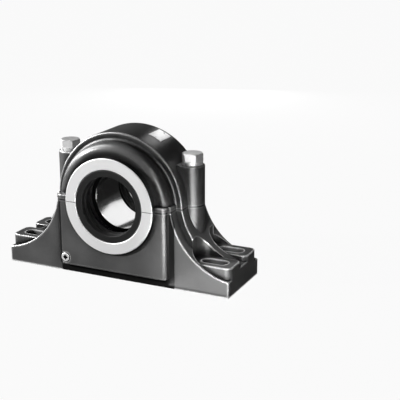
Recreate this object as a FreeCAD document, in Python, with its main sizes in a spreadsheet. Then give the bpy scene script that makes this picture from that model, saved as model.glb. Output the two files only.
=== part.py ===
import FreeCAD, Part
import math
import os
from types import SimpleNamespace

import Sketcher
from FreeCAD import Vector

# Split pillow block for a 100 mm shaft, with a double-row spherical roller bearing on a tapered sleeve.
# Millimetres. X runs along the base, Y along the shaft (front at -Y) and Z up. The origin is on the
# floor, under the middle of the bearing. The castings are drawn in that frame, and the turned pieces
# are drawn about the bearing centre and lifted to the shaft height.

DRIVING_SIZES = (
    ("shaft_diameter", 100.0, "shaft that the block carries"),
    ("shaft_height", 130.2, "floor to shaft centre, where the housing is split"),
    ("base_length", 419.1, "foot to foot"),
    ("base_width", 125.4, "across the feet, along the shaft"),
    ("toe_height", 26.0, "lowest point of the saddle sweep"),
    ("saddle_radius", 121.0, "sweep from the toe up to the waist"),
    ("saddle_round", 2.0, "edges of the saddle"),
    ("waist_width", 212.0, "narrowest width of the saddle"),
    ("web_step", 4.0, "least step from the saddle up to the web along its middle"),
    ("web_drop", 5.0, "least drop from the pads to the web at their toe corners"),
    ("panel_width", 205.5, "end panels under the seal faces"),
    ("panel_corner", 9.0, "upright edges of the panels"),
    ("panel_foot", 14.5, "gap from the floor to the panels"),
    ("panel_foot_round", 4.0, "lower edges of the panels"),
    ("pad_height", 47.7, "top of the bolt pads"),
    ("pad_width", 46.0, "across one bolt pad"),
    ("pad_length", 73.0, "along one bolt pad, from the toe inwards"),
    ("pad_corner", 11.0, "upright corners of the pads at the toe"),
    ("pad_heel", 19.0, "upright corners of the pads towards the block"),
    ("pad_round", 1.5, "rims of the bolt pads"),
    ("spot_gap", 0.6, "spot faces wider than the pads, all round"),
    ("slot_inset", 37.3, "middle of a slot from the toe"),
    ("slot_edge", 30.3, "middle of a slot from the side of the base"),
    ("slot_width", 22.0, "for the foundation bolts"),
    ("slot_length", 46.0, "end to end"),
    ("column_radius", 20.3, "round end of the bolt columns and bosses"),
    ("boss_height", 68.0, "cap bolt bosses above the joint"),
    ("flange_thickness", 9.0, "cap flange at the joint"),
    ("barrel_wall", 17.5, "round the bearing seat"),
    ("barrel_width", 82.0, "along the shaft"),
    ("rim_round", 3.0, "edge of the barrel"),
    ("shoulder_step", 13.5, "rounded shoulder below the barrel"),
    ("shoulder_flat", 5.0, "straight part of the shoulder"),
    ("shoulder_round", 14.0, "rounding of the shoulder"),
    ("cove_round", 5.0, "hollow between barrel wall and shoulder"),
    ("cast_round", 2.5, "edges of the cap"),
    ("face_proud", 4.8, "machined seal faces in front of the panels"),
    ("face_ring", 19.2, "machined seal faces, in the radius"),
    ("edge_break", 1.0, "turned chamfers"),
    ("bearing_outer", 200.0, "bearing outside diameter"),
    ("bearing_width", 53.0, "both bearing rings"),
    ("seat_gap", 0.05, "outer ring and locating rings in the housing seat"),
    ("fit_gap", 0.03, "between turned pieces that fit each other"),
    ("pitch_shift", 1.0, "rollers further out than halfway between bore and outside"),
    ("contact_angle", 10.0, "degrees from square to the shaft"),
    ("roller_diameter", 24.4, "middle of the barrel roller"),
    ("roller_length", 19.0, "end to end"),
    ("roller_count", 17, "in each row"),
    ("roller_play", 0.2, "clearance round a roller on its raceways"),
    ("ring_chamfer", 2.0, "corners of the outer ring and the nut"),
    ("oil_groove_width", 11.0, "round the outer ring"),
    ("oil_groove_depth", 2.0, "round the outer ring"),
    ("oil_hole_diameter", 6.0, "through the outer ring"),
    ("oil_hole_count", 3, "through the outer ring"),
    ("flange_drop", 8.5, "inner ring's flanges inside the roller middles"),
    ("guide_land", 3.6, "flat between the inner ring's raceways"),
    ("guide_drop", 2.5, "guide ring inside the roller middles"),
    ("cage_thickness", 4.0, "cage wall"),
    ("cage_play", 0.35, "between a roller and its pocket"),
    ("cage_outer_rim", 3.2, "cage rim on the open side"),
    ("cage_inner_rim", 1.8, "cage rim at the guide ring"),
    ("locating_width", 5.0, "locating rings beside the outer ring"),
    ("locating_depth", 8.0, "locating rings, in the radius"),
    ("taper", 12.0, "sleeve taper, one in"),
    ("sleeve_wall", 5.0, "sleeve at the small end of its taper"),
    ("sleeve_nose", 5.5, "sleeve in front of the bearing"),
    ("sleeve_tail", 2.0, "sleeve behind the lock nut"),
    ("sleeve_gap", 0.02, "between shaft and sleeve"),
    ("thread_relief", 0.6, "thread below the small end of the taper"),
    ("slit_width", 3.0, "slit along the sleeve"),
    ("key_gap", 0.15, "tab washer's key in the sleeve's slit"),
    ("tab_washer_thickness", 2.5, "between bearing and lock nut"),
    ("tab_ring", 9.6, "ring of the tab washer, in the radius"),
    ("tab_length", 7.0, "tabs beyond the ring"),
    ("tab_count", 17, "round the washer"),
    ("tab_gap", 6.5, "notch between two tabs"),
    ("nut_wall", 18.0, "lock nut, in the radius"),
    ("nut_width", 16.0, "lock nut along the shaft"),
    ("nut_slot_width", 12.0, "spanner slots"),
    ("nut_slot_depth", 6.0, "spanner slots"),
    ("nut_slot_count", 4, "spanner slots"),
    ("end_room", 4.1, "between lock nut and end wall"),
    ("land_width", 3.0, "housing lands between the seal ring's ribs"),
    ("rib_width", 4.2, "labyrinth ribs"),
    ("rib_depth", 10.0, "labyrinth ribs, in the radius"),
    ("front_rib_width", 6.0, "outermost rib, which shows"),
    ("front_rib_gap", 1.0, "outermost rib in the housing bore"),
    ("labyrinth_gap", 0.9, "running gap in the labyrinth"),
    ("bore_step", 3.4, "housing bore outside the lands"),
    ("seal_recess", 0.8, "seal ring inside the housing face"),
    ("seal_bore_gap", 0.3, "seal ring over the shaft"),
    ("seal_wall", 8.0, "shaft to the seal ring's outside between its ribs"),
    ("cord_diameter", 3.8, "round cord in the seal ring's bore"),
    ("bolt_diameter", 20.0, "cap bolts"),
    ("bolt_clearance", 4.1, "from the spring washers to the barrel"),
    ("bolt_hole_gap", 1.0, "cap bolt in the cap, in the radius"),
    ("bolt_engagement", 40.0, "cap bolt in the base"),
    ("bolt_tip_gap", 4.0, "tapped hole beyond the bolt"),
    ("head_flats", 31.0, "bolt head across flats"),
    ("head_height", 13.0, "bolt head"),
    ("head_turn", 12.0, "degrees that the heads are turned"),
    ("crown_angle", 30.0, "degrees that the heads' corners are chamfered"),
    ("washer_thickness", 6.0, "spring washers"),
    ("washer_diameter", 34.0, "spring washers, outside"),
    ("washer_slit", 3.0, "spring washers"),
    ("washer_slant", 3.0, "lean of the slit"),
    ("washer_turn", 70.0, "degrees that the slits are turned"),
    ("dowel_diameter", 8.0, "dowel pins"),
    ("dowel_length", 16.0, "dowel pins"),
    ("dowel_inset", 13.0, "dowel pins from the panel's edges"),
    ("plug_diameter", 16.0, "drain plug"),
    ("plug_length", 14.0, "drain plug"),
    ("plug_proud", 1.0, "drain plug in front of the panel"),
    ("plug_socket", 7.0, "square socket across flats"),
    ("plug_socket_depth", 8.0, "square socket"),
    ("plug_inset", 14.0, "drain plug from the panel's side"),
    ("plug_rise", 14.0, "drain plug above the panel's foot"),
)

# Edges and planes closer than this are the same
TOUCH = 0.01

doc = FreeCAD.newDocument("pillow_block")
sheet = doc.addObject("Spreadsheet::Sheet", "sizes")


# Sizes that carry both their number and their spelling in the sheet


class Size:
    def __init__(self, value, text):
        self.value = value
        self.text = text

    def __add__(self, other):
        return Size(self.value + number(other), f"({self.text} + {spelling(other)})")

    def __radd__(self, other):
        return Size(number(other) + self.value, f"({spelling(other)} + {self.text})")

    def __sub__(self, other):
        return Size(self.value - number(other), f"({self.text} - {spelling(other)})")

    def __rsub__(self, other):
        return Size(number(other) - self.value, f"({spelling(other)} - {self.text})")

    def __mul__(self, other):
        return Size(self.value * number(other), f"({self.text} * {spelling(other)})")

    def __rmul__(self, other):
        return Size(number(other) * self.value, f"({spelling(other)} * {self.text})")

    def __truediv__(self, other):
        return Size(self.value / number(other), f"({self.text} / {spelling(other)})")

    def __rtruediv__(self, other):
        return Size(number(other) / self.value, f"({spelling(other)} / {self.text})")

    def __neg__(self):
        return Size(-self.value, f"(-{self.text})")


def number(item):
    return item.value if isinstance(item, Size) else float(item)


def spelling(item):
    return item.text if isinstance(item, Size) else f"({float(item)!r})"


def root(item):
    return Size(math.sqrt(item.value), f"sqrt({item.text})")


def sine(degrees):
    return Size(math.sin(math.radians(degrees.value)), f"sin({degrees.text} * 1 deg)")


def cosine(degrees):
    return Size(math.cos(math.radians(degrees.value)), f"cos({degrees.text} * 1 deg)")


def tangent(degrees):
    return sine(degrees) / cosine(degrees)


def leg(hypotenuse, other_leg):
    """The third side of a right-angled triangle."""
    return root(hypotenuse * hypotenuse - other_leg * other_leg)


def long_side(leg_a, leg_b):
    return root(leg_a * leg_a + leg_b * leg_b)


def larger(first, second):
    return Size(max(first.value, second.value), f"max({first.text}; {second.text})")


def smaller(first, second):
    return Size(min(first.value, second.value), f"min({first.text}; {second.text})")


def read_sizes():
    """Fill the sheet and give each driving size back by its alias."""
    sizes = SimpleNamespace()
    for row, (alias, value, note) in enumerate(DRIVING_SIZES, 1):
        sheet.set(f"A{row}", note)
        sheet.set(f"B{row}", str(value))
        sheet.setAlias(f"B{row}", alias)
    doc.recompute()
    for alias, _, _ in DRIVING_SIZES:
        setattr(sizes, alias, Size(float(sheet.get(alias)), f"sizes.{alias}"))
    return sizes


s = read_sizes()
NO_GAP = Size(0.0, "0")
LEFT_TURN = 1
RIGHT_TURN = -1


# Sketches, with every corner tied to the sheet


class Bend:
    """The edge that leaves a corner is an arc of this radius, turning left or right."""

    def __init__(self, radius, turn):
        self.radius = radius
        self.turn = turn

    def centre(self, start, end):
        half = (end - start) * 0.5
        reach = math.sqrt(max(number(self.radius) ** 2 - half.Length**2, 0.0))
        across = Vector(-half.y, half.x, 0).normalize()
        return start + half + across * reach * self.turn


class Drawing:
    """A sketch on an origin plane of its own body, moved along that plane's axis by level."""

    def __init__(self, body, name, plane="XY", level=0.0):
        if body is None:
            self.sketch = doc.addObject("Sketcher::SketchObject", name)
            return
        self.sketch = body.newObject("Sketcher::SketchObject", name)
        support = [f for f in body.Origin.OriginFeatures if f.Role == f"{plane}_Plane"][0]
        self.sketch.AttachmentSupport = [(support, "")]
        self.sketch.MapMode = "FlatFace"
        along_normal = -1 * level if plane == "XZ" else level
        if isinstance(along_normal, Size):
            self.sketch.setExpression("AttachmentOffset.Base.z", along_normal.text)

    def tie(self, kind, item, point, size):
        axis = {"DistanceX": -2, "DistanceY": -1}[kind]
        if not isinstance(size, Size):
            self.sketch.addConstraint(Sketcher.Constraint("PointOnObject", item, point, axis))
            return
        index = self.sketch.addConstraint(Sketcher.Constraint(kind, -1, 1, item, point, size.value))
        self.sketch.setExpression(f"Constraints[{index}]", size.text)

    def pin(self, item, point, x, y):
        self.tie("DistanceX", item, point, x)
        self.tie("DistanceY", item, point, y)

    def fix_radius(self, item, radius):
        index = self.sketch.addConstraint(Sketcher.Constraint("Radius", item, radius.value))
        self.sketch.setExpression(f"Constraints[{index}]", radius.text)

    def loop(self, corners):
        """A closed outline. A corner is (x, y), or (x, y, Bend) where an arc leaves it."""
        spots = [Vector(number(c[0]), number(c[1]), 0) for c in corners]
        ends = []
        for index, corner in enumerate(corners):
            start, end = spots[index], spots[(index + 1) % len(spots)]
            bend = corner[2] if len(corner) > 2 else None
            if bend is None:
                item = self.sketch.addGeometry(Part.LineSegment(start, end), False)
                first, last = 1, 2
            else:
                item = self.sketch.addGeometry(arc_between(start, end, bend), False)
                first, last = (1, 2) if bend.turn == LEFT_TURN else (2, 1)
                self.fix_radius(item, bend.radius)
            self.pin(item, first, corner[0], corner[1])
            ends.append((item, first, last))
        for index, (item, first, last) in enumerate(ends):
            follower, follower_first, _ = ends[(index + 1) % len(ends)]
            joined = Sketcher.Constraint("Coincident", item, last, follower, follower_first)
            self.sketch.addConstraint(joined)

    def rectangle(self, left, right, low, high):
        self.loop([(left, low), (right, low), (right, high), (left, high)])

    def rounded_rectangle(self, half_x, half_y, radius):
        corner = Bend(radius, LEFT_TURN)
        flat_x, flat_y = half_x - radius, half_y - radius
        self.loop(
            [
                (-flat_x, -half_y),
                (flat_x, -half_y, corner),
                (half_x, -flat_y),
                (half_x, flat_y, corner),
                (flat_x, half_y),
                (-flat_x, half_y, corner),
                (-half_x, flat_y),
                (-half_x, -flat_y, corner),
            ]
        )

    def circle(self, x, y, radius):
        spot = Vector(number(x), number(y), 0)
        item = self.sketch.addGeometry(Part.Circle(spot, Vector(0, 0, 1), radius.value), False)
        self.pin(item, 3, x, y)
        self.fix_radius(item, radius)

    def oblong(self, left, right, y, radius):
        """Two round ends, centred at left and right, joined by straight sides."""
        low, high = y - radius, y + radius
        up = Vector(0, 0, 1)
        sides = []
        for x, start in ((right, -math.pi / 2), (left, math.pi / 2)):
            ring = Part.Circle(Vector(x.value, number(y), 0), up, radius.value)
            sides.append(self.sketch.addGeometry(Part.ArcOfCircle(ring, start, start + math.pi), False))
        for x, item, first_y, last_y in ((right, sides[0], low, high), (left, sides[1], high, low)):
            self.pin(item, 1, x, first_y)
            self.pin(item, 2, x, last_y)
            self.tie("DistanceX", item, 3, x)
        for here, there in ((0, 1), (1, 0)):
            start = self.sketch.getPoint(sides[here], 2)
            end = self.sketch.getPoint(sides[there], 1)
            item = self.sketch.addGeometry(Part.LineSegment(start, end), False)
            self.sketch.addConstraint(Sketcher.Constraint("Coincident", item, 1, sides[here], 2))
            self.sketch.addConstraint(Sketcher.Constraint("Coincident", item, 2, sides[there], 1))


def arc_between(start, end, bend):
    centre = bend.centre(start, end)
    if bend.turn == RIGHT_TURN:
        start, end = end, start
    angles = [math.atan2(p.y - centre.y, p.x - centre.x) for p in (start, end)]
    if angles[1] < angles[0]:
        angles[1] += 2 * math.pi
    ring = Part.Circle(centre, Vector(0, 0, 1), number(bend.radius))
    return Part.ArcOfCircle(ring, *angles)


# Features


def new_body(label):
    body = doc.addObject("PartDesign::Body", label)
    body.Label = label
    return body


def extrude(body, kind, drawing, length, symmetric=False, reverse=False):
    feature = body.newObject(f"PartDesign::{kind}", f"{drawing.sketch.Name}_{kind.lower()}")
    feature.Profile = drawing.sketch
    feature.SideType = "Symmetric" if symmetric else "One side"
    feature.Reversed = reverse
    if length is None:
        feature.Type = "ThroughAll"
    else:
        feature.setExpression("Length", length.text)
    drawing.sketch.Visibility = False
    return feature


def turn(body, kind, drawing, angle=360.0, reverse=False, axis="V_Axis"):
    feature = body.newObject(f"PartDesign::{kind}", f"{drawing.sketch.Name}_{kind.lower()}")
    feature.Profile = drawing.sketch
    feature.ReferenceAxis = (drawing.sketch, [axis])
    feature.Angle = angle
    feature.Reversed = reverse
    drawing.sketch.Visibility = False
    return feature


def round_edges(body, radius, wanted):
    """Fillet the edges of the body's last feature that wanted picks."""
    doc.recompute()
    last = body.Tip
    names = [f"Edge{i}" for i, edge in enumerate(last.Shape.Edges, 1) if wanted(edge)]
    feature = body.newObject("PartDesign::Fillet", f"{body.Name}_rounding")
    feature.Base = (last, names)
    feature.setExpression("Radius", radius.text)
    doc.recompute()
    return feature


def lies_at(edge, axis, level):
    """Whether the whole edge is at this distance from the middle along X, Y or Z."""
    low, high = (getattr(edge.BoundBox, axis + end) for end in ("Min", "Max"))
    return high - low < TOUCH and abs(abs(low) - level.value) < TOUCH


def is_arc(edge, radius):
    return abs(getattr(edge.Curve, "Radius", 0.0) - radius.value) < TOUCH


def repeat_round_shaft(body, feature, count):
    doc.recompute()
    pattern = body.newObject("PartDesign::PolarPattern", f"{feature.Name}_pattern")
    pattern.Originals = [feature]
    shaft_axis = [f for f in body.Origin.OriginFeatures if f.Role == "Y_Axis"][0]
    pattern.Axis = (shaft_axis, [""])
    pattern.Angle = 360.0
    pattern.setExpression("Occurrences", count.text)
    body.Tip = pattern
    return pattern


def place(item, x=0.0, y=0.0, z=0.0, axis=(0, 0, 1), degrees=0.0):
    """Put a sub-part in the block's frame, with its place tied to the sheet."""
    spot = "; ".join(spelling(value) for value in (x, y, z))
    pole = "; ".join(spelling(value) for value in axis)
    item.setExpression(
        "Placement",
        f"create(<<placement>>; create(<<vector>>; {spot});"
        f" create(<<rotation>>; create(<<vector>>; {pole}); {spelling(degrees)}))",
    )
    return item


def at_bearing(item, axis=(0, 0, 1), degrees=0.0):
    return place(item, z=s.shaft_height, axis=axis, degrees=degrees)


# Places that several pieces share

shaft_radius = s.shaft_diameter / 2
bearing_half = s.bearing_width / 2
seat_radius = s.bearing_outer / 2 + s.seat_gap
seat_half = bearing_half + s.locating_width + s.seat_gap
chamber_radius = s.bearing_outer / 2 - s.locating_depth
barrel_radius = seat_radius + s.barrel_wall
barrel_half = s.barrel_width / 2
bolt_x = leg(barrel_radius, s.boss_height) + s.washer_diameter / 2 + s.bolt_clearance
boss_top = s.shaft_height + s.boss_height

# Along the shaft, from the lock nut out to the seal face
washer_face = bearing_half + s.tab_washer_thickness
nut_face = washer_face + s.nut_width
chamber_half = nut_face + s.end_room
rib_pitch = s.land_width + 2 * s.labyrinth_gap
rib_back_2 = chamber_half + s.land_width + s.labyrinth_gap
rib_face_2 = rib_back_2 + s.rib_width
rib_back_1 = rib_face_2 + rib_pitch
rib_face_1 = rib_back_1 + s.rib_width
rib_back_0 = rib_face_1 + rib_pitch
rib_face_0 = rib_back_0 + s.front_rib_width
face_half = rib_face_0 + s.seal_recess

# Round the shaft, from the seal ring's bore out to the machined face
seal_bore = shaft_radius + s.seal_bore_gap
seal_outside = shaft_radius + s.seal_wall
rib_radius = seal_outside + s.rib_depth
land_radius = seal_outside + s.labyrinth_gap
groove_radius = rib_radius + s.labyrinth_gap
bore_radius = land_radius + s.bore_step
face_radius = bore_radius + s.face_ring

# The end panels, and what is set in from their edges
panel_x = s.panel_width / 2
panel_y = face_half - s.face_proud
dowel_x = panel_x - s.dowel_inset
dowel_y = panel_y - s.dowel_inset
plug_x = panel_x - s.plug_inset
plug_z = s.panel_foot + s.plug_rise

# The sweeps of the saddle and its web are arcs about this point, and the feet lie under it
sweep_x = s.waist_width / 2 + s.saddle_radius
sweep_z = s.toe_height + s.saddle_radius
toe_x = s.base_length / 2
base_y = s.base_width / 2
row_y = base_y - s.slot_edge


def sweep_width(radius, z):
    """How far out a sweep of this radius is at a height."""
    return sweep_x - leg(radius, sweep_z - z)


def sweep_height(radius, x):
    return sweep_z - leg(radius, sweep_x - x)


waist_x = sweep_width(s.saddle_radius, s.shaft_height)

# The web meets the barrel at the joint, stands proud of the saddle and ends below the pads' toe corners
web_x = larger(barrel_radius, waist_x + s.web_step)
web_radius = larger(
    long_side(sweep_x - web_x, sweep_z - s.shaft_height),
    long_side(sweep_x + s.pad_corner - toe_x, sweep_z + s.web_drop - s.pad_height),
)

# The pads run in from the toe until the saddle covers their round heels
rim_x = sweep_width(s.saddle_radius, s.pad_height)
heel_x = smaller(toe_x - s.pad_length, rim_x - s.pad_heel - s.spot_gap)

# The rollers' tilted frame: lean runs along the roller's axis, reach from the bearing centre outwards
bore_small = shaft_radius + s.sleeve_wall
thread_radius = bore_small - s.thread_relief
pitch_radius = (s.bearing_outer / 2 + bore_small) / 2 + s.pitch_shift
lean_x, lean_y = sine(s.contact_angle), cosine(s.contact_angle)
reach_x, reach_y = cosine(s.contact_angle), -sine(s.contact_angle)
roller_distance = pitch_radius / cosine(s.contact_angle)
roller_offset = pitch_radius * tangent(s.contact_angle)
raceway_radius = roller_distance + s.roller_diameter / 2 + s.roller_play
inner_contact = roller_distance - s.roller_diameter / 2 - s.roller_play


def roller_spot(along, out):
    """A point of the front row's section, from the roller's middle."""
    x = pitch_radius + along * lean_x + out * reach_x
    y = along * lean_y + out * reach_y - roller_offset
    return x, y


# Castings


def mirrored_ends(corners):
    """A turned outline, given from the front to the middle, continued to the rear."""
    rear = []
    for index in range(len(corners) - 1, -1, -1):
        x, y = corners[index][:2]
        leaving = corners[index - 1][2] if index and len(corners[index - 1]) > 2 else None
        rear.append((x, -y, leaving) if leaving else (x, -y))
    return corners + rear


def cut_cavity(body):
    """The bearing seat, the grease chambers, the labyrinth grooves and the bores."""
    drawing = Drawing(body, "cavity", "XY", s.shaft_height)
    gap = s.labyrinth_gap
    drawing.loop(
        mirrored_ends(
            [
                (0, -face_half),
                (bore_radius + s.edge_break, -face_half),
                (bore_radius, s.edge_break - face_half),
                (bore_radius, gap - rib_back_0),
                (land_radius, gap - rib_back_0),
                (land_radius, -gap - rib_face_1),
                (groove_radius, -gap - rib_face_1),
                (groove_radius, gap - rib_back_1),
                (land_radius, gap - rib_back_1),
                (land_radius, -gap - rib_face_2),
                (groove_radius, -gap - rib_face_2),
                (groove_radius, gap - rib_back_2),
                (land_radius, gap - rib_back_2),
                (land_radius, -chamber_half),
                (chamber_radius, -chamber_half),
                (chamber_radius, -seat_half),
                (seat_radius, -seat_half),
            ]
        )
    )
    turn(body, "Groove", drawing)


def seal_face_corners():
    """The machined ring round the bore, with a broken outer edge."""
    return [
        (0, -face_half),
        (face_radius - s.edge_break, -face_half),
        (face_radius, s.edge_break - face_half),
    ]


def joint_holes(body, bolt_radius, bolt_depth, upward):
    """Cap bolt and dowel holes, from the joint into one half of the housing."""
    bolts = Drawing(body, "bolt_holes", "XY", s.shaft_height)
    for x in (-bolt_x, bolt_x):
        bolts.circle(x, 0, bolt_radius)
    extrude(body, "Pocket", bolts, bolt_depth, reverse=upward)
    dowels = Drawing(body, "dowel_holes", "XY", s.shaft_height)
    for side in (-1, 1):
        dowels.circle(side * dowel_x, -side * dowel_y, s.dowel_diameter / 2 + s.fit_gap)
    extrude(body, "Pocket", dowels, s.dowel_length / 2 + s.edge_break, reverse=upward)


def swept_block(body, name, radius, half_width):
    """A block from foot to foot whose ends sweep up to the joint, with rounded edges."""
    toe_top, joint_x = sweep_height(radius, toe_x), sweep_width(radius, s.shaft_height)
    sweep = Bend(radius, RIGHT_TURN)
    drawing = Drawing(body, name, "XZ")
    drawing.loop(
        [
            (-toe_x, 0),
            (toe_x, 0),
            (toe_x, toe_top, sweep),
            (joint_x, s.shaft_height),
            (-joint_x, s.shaft_height, sweep),
            (-toe_x, toe_top),
        ]
    )
    extrude(body, "Pad", drawing, 2 * half_width, symmetric=True)

    def outer_edge(edge):
        at_toe, at_side = lies_at(edge, "X", toe_x), lies_at(edge, "Y", half_width)
        if at_side and not at_toe:
            return is_arc(edge, radius)
        return at_toe and (lies_at(edge, "Y", base_y) or lies_at(edge, "Z", toe_top))

    round_edges(body, s.saddle_round, outer_edge)


def pad_outlines(drawing, gap):
    """The four bolt pads, grown by a gap all round."""
    toe, heel = toe_x + gap, heel_x - gap
    toe_corner, heel_corner = s.pad_corner + gap, s.pad_heel + gap
    half = s.pad_width / 2 + gap
    for side in (-1, 1):
        at_toe, at_heel = (Bend(radius, side * LEFT_TURN) for radius in (toe_corner, heel_corner))
        for row in (-row_y, row_y):
            low, high = row - half, row + half
            drawing.loop(
                [
                    (side * (heel + heel_corner), low),
                    (side * (toe - toe_corner), low, at_toe),
                    (side * toe, low + toe_corner),
                    (side * toe, high - toe_corner, at_toe),
                    (side * (toe - toe_corner), high),
                    (side * (heel + heel_corner), high, at_heel),
                    (side * heel, high - heel_corner),
                    (side * heel, low + heel_corner, at_heel),
                ]
            )


def bolt_pads(body):
    """Four raised pads, spot-faced into the saddle, with a slot through each."""
    pads = Drawing(body, "bolt_pads", "XY")
    pad_outlines(pads, NO_GAP)
    extrude(body, "Pad", pads, s.pad_height)
    spot_faces = Drawing(body, "spot_faces", "XY", s.pad_height)
    pad_outlines(spot_faces, s.spot_gap)
    extrude(body, "Pocket", spot_faces, s.shaft_height, reverse=True)
    sides = (("X", toe_x), ("Y", row_y - s.pad_width / 2), ("Y", row_y + s.pad_width / 2))

    def rim(edge):
        if not lies_at(edge, "Z", s.pad_height):
            return False
        return is_arc(edge, s.pad_corner) or any(lies_at(edge, axis, level) for axis, level in sides)

    round_edges(body, s.pad_round, rim)
    slot_radius = s.slot_width / 2
    slot_x, slot_reach = toe_x - s.slot_inset, s.slot_length / 2 - slot_radius
    slots = Drawing(body, "slots", "XY")
    heel, tip = slot_x - slot_reach, slot_x + slot_reach
    for row in (-row_y, row_y):
        slots.oblong(heel, tip, row, slot_radius)
        slots.oblong(-tip, -heel, row, slot_radius)
    extrude(body, "Pocket", slots, None, reverse=True)


def housing_base():
    body = new_body("housing_base")
    panel = Drawing(body, "panel", "XY", s.shaft_height)
    panel.rounded_rectangle(panel_x, panel_y, s.panel_corner)
    extrude(body, "Pad", panel, s.shaft_height - s.panel_foot, reverse=True)
    round_edges(body, s.panel_foot_round, lambda edge: lies_at(edge, "Z", s.panel_foot))
    swept_block(body, "saddle", s.saddle_radius, base_y)
    swept_block(body, "web", web_radius, barrel_half)

    seal_faces = Drawing(body, "seal_faces", "XY", s.shaft_height)
    seal_faces.loop(mirrored_ends(seal_face_corners()))
    turn(body, "Revolution", seal_faces, 180.0)
    columns = Drawing(body, "bolt_columns", "XY", s.shaft_height)
    columns.oblong(-bolt_x, bolt_x, 0, s.column_radius)
    extrude(body, "Pad", columns, s.shaft_height - s.toe_height, reverse=True)
    bolt_pads(body)

    cut_cavity(body)
    hole_depth = s.bolt_engagement + s.bolt_tip_gap
    joint_holes(body, s.bolt_diameter / 2 + s.fit_gap, hole_depth, upward=False)
    drain = Drawing(body, "drain_hole", "XZ", -panel_y)
    drain.circle(-plug_x, plug_z, s.plug_diameter / 2 + s.fit_gap)
    extrude(body, "Pocket", drain, s.plug_length - s.plug_proud)
    return body


def housing_cap():
    body = new_body("housing_cap")
    flange = Drawing(body, "flange", "XY", s.shaft_height)
    flange.rounded_rectangle(panel_x, panel_y, s.panel_corner)
    extrude(body, "Pad", flange, s.flange_thickness)
    waist = Drawing(body, "waist_flange", "XY", s.shaft_height)
    waist.rectangle(-waist_x, waist_x, -base_y, base_y)
    extrude(body, "Pad", waist, s.flange_thickness)
    flange_top = s.shaft_height + s.flange_thickness
    round_edges(body, s.cast_round, lambda edge: lies_at(edge, "Z", flange_top))
    bosses = Drawing(body, "bolt_bosses", "XY", s.shaft_height)
    bosses.oblong(-bolt_x, bolt_x, 0, s.column_radius)
    extrude(body, "Pad", bosses, s.boss_height)
    round_edges(body, s.cast_round, lambda edge: lies_at(edge, "Z", boss_top))

    rim, cove, shoulder = s.rim_round, s.cove_round, s.shoulder_round
    shoulder_radius = barrel_radius - s.shoulder_step
    shoulder_half = barrel_half + cove + s.shoulder_flat + shoulder
    barrel = Drawing(body, "barrel", "XY", s.shaft_height)
    wall = [
        (face_radius, -shoulder_half),
        (shoulder_radius - shoulder, -shoulder_half, Bend(shoulder, LEFT_TURN)),
        (shoulder_radius, shoulder - shoulder_half),
        (shoulder_radius, -cove - barrel_half, Bend(cove, RIGHT_TURN)),
        (shoulder_radius + cove, -barrel_half),
        (barrel_radius - rim, -barrel_half, Bend(rim, LEFT_TURN)),
        (barrel_radius, rim - barrel_half),
    ]
    barrel.loop(mirrored_ends(seal_face_corners() + wall))
    turn(body, "Revolution", barrel, 180.0, reverse=True)
    cut_cavity(body)
    joint_holes(body, s.bolt_diameter / 2 + s.bolt_hole_gap, None, upward=True)
    return body


# Fasteners


def cap_bolt(label, side):
    body = new_body(label)
    corner_radius = s.head_flats / math.sqrt(3)
    head = Drawing(body, "head", "XY")
    corners = []
    for index in range(6):
        angle = s.head_turn + 60 * index
        corners.append((corner_radius * cosine(angle), corner_radius * sine(angle)))
    head.loop(corners)
    extrude(body, "Pad", head, s.head_height)
    crown = Drawing(body, "crown", "XZ")
    outside = corner_radius + s.edge_break
    crown_drop = (outside - s.head_flats / 2) * tangent(s.crown_angle)
    crown.loop(
        [
            (s.head_flats / 2, s.head_height),
            (outside, s.head_height - crown_drop),
            (outside, s.head_height),
        ]
    )
    turn(body, "Groove", crown)
    shank = Drawing(body, "shank", "XZ")
    shank_radius = s.bolt_diameter / 2
    length = s.washer_thickness + s.boss_height + s.bolt_engagement
    shank.loop(
        [
            (0, 0),
            (0, -length),
            (shank_radius - s.edge_break, -length),
            (shank_radius, s.edge_break - length),
            (shank_radius, 0),
        ]
    )
    turn(body, "Revolution", shank)
    return place(body, side * bolt_x, 0, boss_top + s.washer_thickness)


def spring_washer(label, side):
    body = new_body(label)
    section = Drawing(body, "section", "XZ")
    bore = s.bolt_diameter / 2 + s.bolt_hole_gap / 2
    section.rectangle(bore, s.washer_diameter / 2, 0, s.washer_thickness)
    turn(body, "Revolution", section)
    slit = Drawing(body, "slit", "YZ")
    half, lean = s.washer_slit / 2, s.washer_slant / 2
    slit.loop(
        [
            (-half - lean, 0),
            (half - lean, 0),
            (half + lean, s.washer_thickness),
            (lean - half, s.washer_thickness),
        ]
    )
    extrude(body, "Pocket", slit, s.washer_diameter)
    return place(body, side * bolt_x, 0, boss_top, degrees=s.washer_turn)


def dowel_pin(label, side):
    pin = doc.addObject("Part::Cylinder", label)
    pin.Label = label
    pin.setExpression("Radius", (s.dowel_diameter / 2).text)
    pin.setExpression("Height", s.dowel_length.text)
    return place(pin, side * dowel_x, -side * dowel_y, s.shaft_height - s.dowel_length / 2)


def drain_plug():
    body = new_body("drain_plug")
    barrel = Drawing(body, "plug", "XZ")
    radius = s.plug_diameter / 2
    barrel.loop(
        [
            (0, 0),
            (radius, 0),
            (radius, s.plug_length - s.edge_break),
            (radius - s.edge_break, s.plug_length),
            (0, s.plug_length),
        ]
    )
    turn(body, "Revolution", barrel)
    socket = Drawing(body, "socket", "XY", s.plug_length)
    corner = s.plug_socket / math.sqrt(2)
    socket.loop([(corner, 0), (0, corner), (-corner, 0), (0, -corner)])
    extrude(body, "Pocket", socket, s.plug_socket_depth)
    depth = s.plug_length - s.plug_proud - panel_y
    return place(body, -plug_x, depth, plug_z, axis=(1, 0, 0), degrees=90)


# Bearing


def turned_ring(label, corners):
    body = new_body(label)
    section = Drawing(body, "section", "XY")
    section.loop(corners)
    turn(body, "Revolution", section)
    return body


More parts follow.
